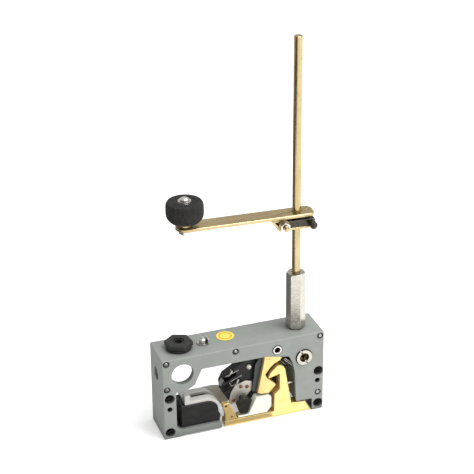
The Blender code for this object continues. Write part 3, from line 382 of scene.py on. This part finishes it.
def filleted(outline, radius, steps=6):
    """The outline with each corner rounded; short sides get a smaller radius."""
    points = []
    count = len(outline)
    for index, corner in enumerate(outline):
        corner = Vector(corner)
        before = Vector(outline[index - 1]) - corner
        after = Vector(outline[(index + 1) % count]) - corner
        bend = before.angle(after)
        reach = min(radius / abs(sin(bend / 2) / cos(bend / 2)), 0.45 * before.length, 0.45 * after.length)
        start = corner + before.normalized() * reach
        end = corner + after.normalized() * reach
        for step in range(steps + 1):
            share = step / steps
            points.append((1 - share) ** 2 * start + 2 * share * (1 - share) * corner + share ** 2 * end)
    return [tuple(point) for point in points]


def carve(piece, tools):
    """Cut the tools out of the piece one after another, and remove them."""
    for tool in tools:
        step = piece.modifiers.new("cut", "BOOLEAN")
        step.operation = "DIFFERENCE"
        step.solver = "EXACT"
        step.object = tool
    bpy.context.view_layer.update()
    result = bpy.data.meshes.new_from_object(piece.evaluated_get(bpy.context.evaluated_depsgraph_get()))
    piece.modifiers.clear()
    piece.data = result
    for tool in tools:
        bpy.data.objects.remove(tool)
    result.shade_smooth()
    result.set_sharp_from_angle(angle=SHARP_ANGLE)
    return piece


# ---------------------------------------------------------------- housing

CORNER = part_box("housing")[0]
LENGTH, DEPTH, HEIGHT = ((high - low) / MM for low, high in zip(*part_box("housing")))


def at(x, y, z):
    """A place in millimetres from the housing's lower left front corner."""
    return CORNER + Vector((x, y, z)) * MM


# Outlines and holes of the front, in millimetres from the housing's lower left corner.
WINDOW = [(38, 69.5), (100, 69.5), (124.5, 65), (128, 58), (130.5, 47), (132, 13.3), (148.5, 13.3),
          (148.5, -4), (58, -4), (56.3, 7.8), (17, 7.8), (12.5, 11.3), (12.5, 49.3), (22, 49.3), (31, 54)]
M6_CLEARANCE = 3.3
M6_COUNTERBORE = 4.7
MOUNTING_HOLES = [(6.3, 43.3), (6.0, 6.8), (154.6, 42.9), (154.6, 6.9)]
SMALL_HOLES = [(6.2, 32.2), (153.8, 32.4)]
COVER_PINS = [(4.0, 81.0), (4.1, 53.6), (71.4, 81.0), (156.0, 81.0), (154.4, 19.2)]
REAR_SCREWS = [(97, 72.9), (127, 72.9)]


def drill(place, radius, depth, flare=0.35):
    """A cutter for a hole from the front face, with a small flare at its mouth."""
    mouth = radius + flare
    profile = [(0, depth), (radius, depth), (radius, flare), (mouth, 0), (mouth, -2), (0, -2)]
    return turned("drill", profile, at(place[0], 0, place[1]), Y_AXIS, SCREW_STEPS)


def make_housing():
    """The die-cast housing, with rounded corners and flared holes."""
    body = block("look_housing", at(0, 0, 0), at(LENGTH, DEPTH, HEIGHT))
    soften(body, 1.1, 3)
    outline = [(at(x, 0, z).x, at(x, 0, z).z) for x, z in filleted(WINDOW, 1.6)]
    through = 1.0
    back = DEPTH + through
    rooms = {
        "cable_chamber": ((9, 6, 47), (41, back, 79)),
        "hook_head_left": ((96, 3.3, 60), (108, 36, 72)),
        "hook_head_right": ((107, 3.3, 60), (122, 36, 69.4)),
        "way_to_the_cam": ((118, 7, 55), (138.5, 32, 69)),
        "rear_cover_seat": ((72, DEPTH - 2, -through), (135, back, 76)),
        "relief_under_the_bar": ((18, -through, -through), (60, back, 1.4)),
    }
    carve(body, [prism("window", outline, at(0, -through, 0).y, at(0, back, 0).y)]
          + [block(room, at(*low), at(*high)) for room, (low, high) in rooms.items()])
    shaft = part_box("shaft")
    shaft_x = ((shaft[0] + shaft[1]) / 2 - CORNER).x / MM
    middle = DEPTH / 2
    gland = ((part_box("gland_body")[0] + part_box("gland_body")[1]) / 2 - CORNER).x / MM
    earth = ((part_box("earth_screw")[0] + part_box("earth_screw")[1]) / 2 - CORNER).x / MM
    inspection_hole = (19.5, 67.4)
    sleeve = (112.6, 74.5)
    release_bush = (139.6, 61.4)
    carve(body, [
        drill(inspection_hole, 10.5, 7, 0.5),
        drill(sleeve, 4.6, 12),
        drill(release_bush, 8.0, 9, 0.4),
        turned("entry", [(0, 12), (6.5, 12), (6.5, 0.6), (7.1, 0), (7.1, -2), (0, -2)], at(0, 21.5, 61.5),
               X_AXIS, SCREW_STEPS),
        turned("gland_hole", [(0, 11), (8, 11), (8, 0), (0, 0)], at(gland, middle, 76)),
        turned("earth_hole", [(0, 11), (2.3, 11), (2.3, 0), (0, 0)], at(earth, middle, 76)),
        turned("bush_seat", [(0, 72), (7.3, 72), (7.3, 0), (0, 0)], at(shaft_x, middle, 15.5)),
        turned("cam_chamber", [(0, 16), (12.5, 16), (12.5, 0), (0, 0)], at(shaft_x, middle, 54)),
        turned("stop_hole", [(0, 7), (1.4, 7), (1.4, 0), (0, 0)], at(130, 6, 32.2), X_AXIS, SCREW_STEPS),
    ])
    carve(body, [drill(place, M6_CLEARANCE, DEPTH + 6, 0) for place in MOUNTING_HOLES])
    carve(body, [drill(place, M6_COUNTERBORE, 7, 0.4) for place in MOUNTING_HOLES]
          + [drill(place, 2.4, 12) for place in SMALL_HOLES])
    carve(body, [drill(place, 3.2, 1.5, 0.25) for place in COVER_PINS])
    carve(body, [drill(place, 1.7, 8, 0) for place in COVER_PINS])
    rear_hole = [(0, 9), (1.6, 9), (1.6, 0), (0, 0)]
    carve(body, [turned("rear_hole", rear_hole, at(x, DEPTH - 8, z), Y_AXIS, SCREW_STEPS)
                 for x, z in REAR_SCREWS])
    even = body.modifiers.new("even_shading", "WEIGHTED_NORMAL")
    even.keep_sharp = True
    return show(body, "housing")


# ---------------------------------------------------------------- roller

def make_roller():
    """The rubber tyre bulges, and each end has a shallow ring; the hub shows as a bright ring inside it."""
    low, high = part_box("roller_tyre")
    centre = Vector(((low.x + high.x) / 2, (low.y + high.y) / 2, low.z))
    height = (high.z - low.z) / MM
    widest = (high.x - low.x) / 2 / MM
    top_radius = widest - 1.1
    foot_radius = widest - 3.1
    widest_share = 0.62
    hub = (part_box("roller_hub")[1].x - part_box("roller_hub")[0].x) / 2 / MM + 0.3
    steps = 24
    side = []
    for step in range(steps + 1):
        share = 1 - step / steps
        above = share > widest_share
        off = (share - widest_share) / (1 - widest_share if above else widest_share)
        end_radius = top_radius if above else foot_radius
        side.append((widest - (widest - end_radius) * off ** 4, 0.7 + (height - 1.4) * share))
    ring = [(hub, 0.5), (hub + 0.4, 0), (9.2, 0), (9.5, 0.45), (10.6, 0.45), (10.9, 0)]
    rim = [(top_radius - 0.9, 0), (top_radius - 0.3, 0.2)]
    top = [(radius, height - deep) for radius, deep in ring + rim]
    bottom = [(foot_radius - 0.3, 0.2), (foot_radius - 0.9, 0)] + ring[::-1]
    tyre = turned("look_roller_tyre", top + side + bottom, centre, ring=True)
    show(tyre, "roller_tyre")


# ---------------------------------------------------------------- contact block, threads and small details

def strip(name, start, end, width, near, far, slot, material=None):
    """A flat strip between two places of the front plane, in the housing's millimetres."""
    start, end = Vector(start), Vector(end)
    along = (end - start).normalized()
    side = Vector((-along.y, along.x)) * width / 2
    corners = (start + side, end + side, end - side, start - side)
    outline = [(at(x, 0, z).x, at(x, 0, z).z) for x, z in corners]
    piece = prism(name, outline, at(0, near, 0).y, at(0, far, 0).y)
    soften(piece, 0.12)
    return show(piece, body="housing", slot=slot, material=material)


def add_block_details():
    """Terminal rails, the frame of the lower pocket and the bent terminals inside the contact block."""
    face = 12.5
    proud = face - 0.4
    rails = [((65.0, 47.9), (78.1, 52.8)), ((69.1, 41.3), (81.4, 46.6)), ((69.0, 40.9), (70.8, 36.4)),
             ((71.0, 36.2), (77.6, 38.6))]
    for number, (start, end) in enumerate(rails, 1):
        strip(f"block_rail_{number}", start, end, 0.8, proud, face + 0.6, "bright_steel")
    terminals = [((70.2, 49.8), (71.9, 53.3)), ((76.4, 38.4), (78.2, 42.4))]
    for number, (start, end) in enumerate(terminals, 1):
        strip(f"block_terminal_{number}", start, end, 1.7, proud, face + 3.0, "silver_plate")
    strip("block_busbar", (91.4, 40.3), (98.2, 40.5), 1.2, proud - 0.6, proud + 0.4, "copper_rivet")
    strip("block_side_clip", (59.9, 39.6), (62.9, 45.4), 1.5, proud, face + 4.0, "bright_steel", PIN_STEEL)


def wire(name, start, end, radius, slot):
    """A thin straight wire between two places in the housing's millimetres."""
    start, end = at(*start), at(*end)
    length = (end - start).length / MM
    piece = turned(name, [(0, length), (radius, length), (radius, 0), (0, 0)], start, end - start, 16)
    return show(piece, body="housing", slot=slot)


def thread(name, start, axis, radius, length, pitch, body, slot):
    """The ridges of a screw thread, as rings along axis."""
    count = int(length / pitch)
    root = radius - 0.25
    crest = radius + 0.12
    inside = radius - 0.6
    outer = []
    for turn in range(count):
        low = length - (turn + 1) * pitch
        outer += [(root, low + pitch), (crest, low + 0.55 * pitch), (crest, low + 0.45 * pitch)]
    end = length - count * pitch
    profile = outer + [(root, end), (inside, end), (inside, length)]
    piece = turned(name, profile, start, axis, SCREW_STEPS, ring=True)
    return show(piece, body=body, slot=slot)


def middle_of(node):
    low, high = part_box(node)
    return (low + high) / 2


def add_threads():
    """Threads where the clamp bolt stands out of its nut and the roller's axle out of its own."""
    bolt_low, bolt_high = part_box("clamp_bolt")
    centre = middle_of("clamp_nut")
    bolt_front = Vector((centre.x, bolt_low.y + 0.6 * MM, centre.z))
    nut_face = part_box("clamp_nut")[0].y
    thread("clamp_bolt_thread", bolt_front, Y_AXIS, 2.2, (nut_face - bolt_front.y) / MM, 0.6, "arm",
           "zinc_yellow")
    axle = middle_of("roller_axle_nut")
    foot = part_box("roller_axle")[0].z
    nut_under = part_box("roller_axle_nut")[0].z
    thread("roller_axle_thread", Vector((axle.x, axle.y, foot + 0.2 * MM)), Z_AXIS, 3.0,
           (nut_under - foot) / MM - 0.3, 0.6, "arm", "bright_steel")


def add_spring_legs():
    """The two straight legs of the hook spring, right of the strike's beak."""
    depth = 4.2
    legs = [((120.9, 60.2), (128.9, 52.4)), ((121.6, 61.4), (129.2, 54.2))]
    for number, ((left, left_up), (right, right_up)) in enumerate(legs, 1):
        wire(f"spring_leg_{number}", (left, depth, left_up), (right, depth, right_up), 0.3, "bright_steel")


def add_label_ring():
    """A plain orange ring printed on the yellow label."""
    centre = middle_of("sticker")
    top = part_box("sticker")[1].z
    ring = turned("label_ring", [(6.4, 0.02), (6.4, 0), (5.2, 0), (5.2, 0.02)],
                  Vector((centre.x, centre.y, top)), ring=True)
    show(ring, body="housing", slot="yellow_label", material=ORANGE_INK)


# ---------------------------------------------------------------- pieces

make_housing()
make_roller()
REBUILT = {"housing", "roller_tyre"}
OWN_FINISH = {"rod": ROD_ZINC, "release_core": BRONZED_STEEL, "hook_pivot_pin": MATERIALS["gold_passivate"],
              "guide_sleeve": MATERIALS["bright_steel"], "terminal_plate": BRIGHT_TIN,
              "terminal_bracket": BRIGHT_TIN}
for node in frame["nodes"]:
    if node.startswith("cover_pin"):
        refined(node, PIN_STEEL)
    elif node not in REBUILT:
        refined(node, OWN_FINISH.get(node))
add_block_details()
add_threads()
add_label_ring()
add_spring_legs()


# ---------------------------------------------------------------- floor, light and camera

def make_floor():
    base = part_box("housing")[0].z
    half = 4.0
    shape = bmesh.new()
    bmesh.ops.create_grid(shape, x_segments=1, y_segments=1, size=half)
    floor = add_mesh("floor", shape)
    floor.location.z = base - 0.1 * MM
    material = bpy.data.materials.new("white_table")
    material.use_nodes = True
    tree = material.node_tree
    shader = tree.nodes["Principled BSDF"]
    shade = blend_colours(tree, spread(tree, noise(tree, 60), 0, 1), (0.93, 0.93, 0.925), (0.95, 0.95, 0.945))
    tree.links.new(shade, shader.inputs["Base Color"])
    tree.links.new(spread(tree, noise(tree, 8), 0.75, 0.9), shader.inputs["Roughness"])
    shader.inputs["Emission Color"].default_value = (1, 1, 1, 1)
    shader.inputs["Emission Strength"].default_value = 0.28
    floor.data.materials.append(material)


def aim(item, target):
    """Turn a light or card so that it faces target."""
    item.rotation_mode = "QUATERNION"
    item.rotation_quaternion = (target - item.location).to_track_quat("-Z", "Y")


def add_softbox(name, place, target, width, power):
    light = bpy.data.lights.new(name, "AREA")
    light.shape = "SQUARE"
    light.size = width
    light.energy = power
    softbox = bpy.data.objects.new(name, light)
    bpy.context.scene.collection.objects.link(softbox)
    softbox.location = place
    aim(softbox, target)


def add_card(name, place, target, width, height, grey):
    """A studio card that only reflections see: it gives the metal its dark bands."""
    shape = bmesh.new()
    bmesh.ops.create_grid(shape, x_segments=1, y_segments=1, size=0.5)
    bmesh.ops.scale(shape, vec=(width, height, 1), verts=shape.verts)
    card = add_mesh(name, shape)
    card.location = place
    aim(card, target)
    card.visible_camera = False
    card.visible_diffuse = False
    card.visible_shadow = False
    card.visible_transmission = False
    card.visible_volume_scatter = False
    material = bpy.data.materials.new(name)
    material.use_nodes = True
    tree = material.node_tree
    tree.nodes.clear()
    glow = put(tree, "ShaderNodeEmission", {"Color": (grey, grey, grey, 1), "Strength": 1.0})
    put(tree, "ShaderNodeOutputMaterial", {"Surface": glow.outputs["Emission"]})
    card.data.materials.append(material)


def make_studio():
    middle = (CAD_BOX[0] + CAD_BOX[1]) / 2
    world = bpy.data.worlds.new("studio")
    world.use_nodes = True
    sky = world.node_tree.nodes["Background"]
    sky.inputs["Color"].default_value = (1, 1, 1, 1)
    sky.inputs["Strength"].default_value = 0.62
    bpy.context.scene.world = world
    add_softbox("key", Vector((0.9, -0.7, 2.6)), middle, 1.8, 75)
    add_card("dark_card_left", Vector((-0.62, -0.25, 0.12)), middle, 0.9, 0.9, 0.12)
    add_card("dark_card_low", Vector((-0.48, 0.25, -0.041)), Vector((-0.48, 0.25, 1.0)), 0.9, 0.9, 0.22)
    bpy.context.scene.view_settings.view_transform = "Standard"


def make_camera():
    """The viewpoint of the picture: from the left and above, at a long focal length."""
    azimuth = radians(-19.365)
    elevation = radians(26.350)
    roll = radians(-0.584)
    distance = 1.32332
    look_at = Vector((-0.057925, -0.019586, 0.146659))
    back = Vector((sin(azimuth) * cos(elevation), -cos(azimuth) * cos(elevation), sin(elevation)))
    level_right = Vector((cos(azimuth), sin(azimuth), 0))
    level_up = back.cross(level_right)
    right = level_right * cos(roll) + level_up * sin(roll)
    up = level_up * cos(roll) - level_right * sin(roll)
    data = bpy.data.cameras.new("camera")
    data.sensor_width = 36.0
    data.lens = 110.94
    data.clip_start = 0.05
    data.clip_end = 20.0
    camera = bpy.data.objects.new("camera", data)
    bpy.context.scene.collection.objects.link(camera)
    camera.matrix_world = Matrix.Translation(look_at + back * distance) @ Matrix(
        (right, up, back)).transposed().to_4x4()
    bpy.context.scene.camera = camera


make_floor()
make_studio()
make_camera()
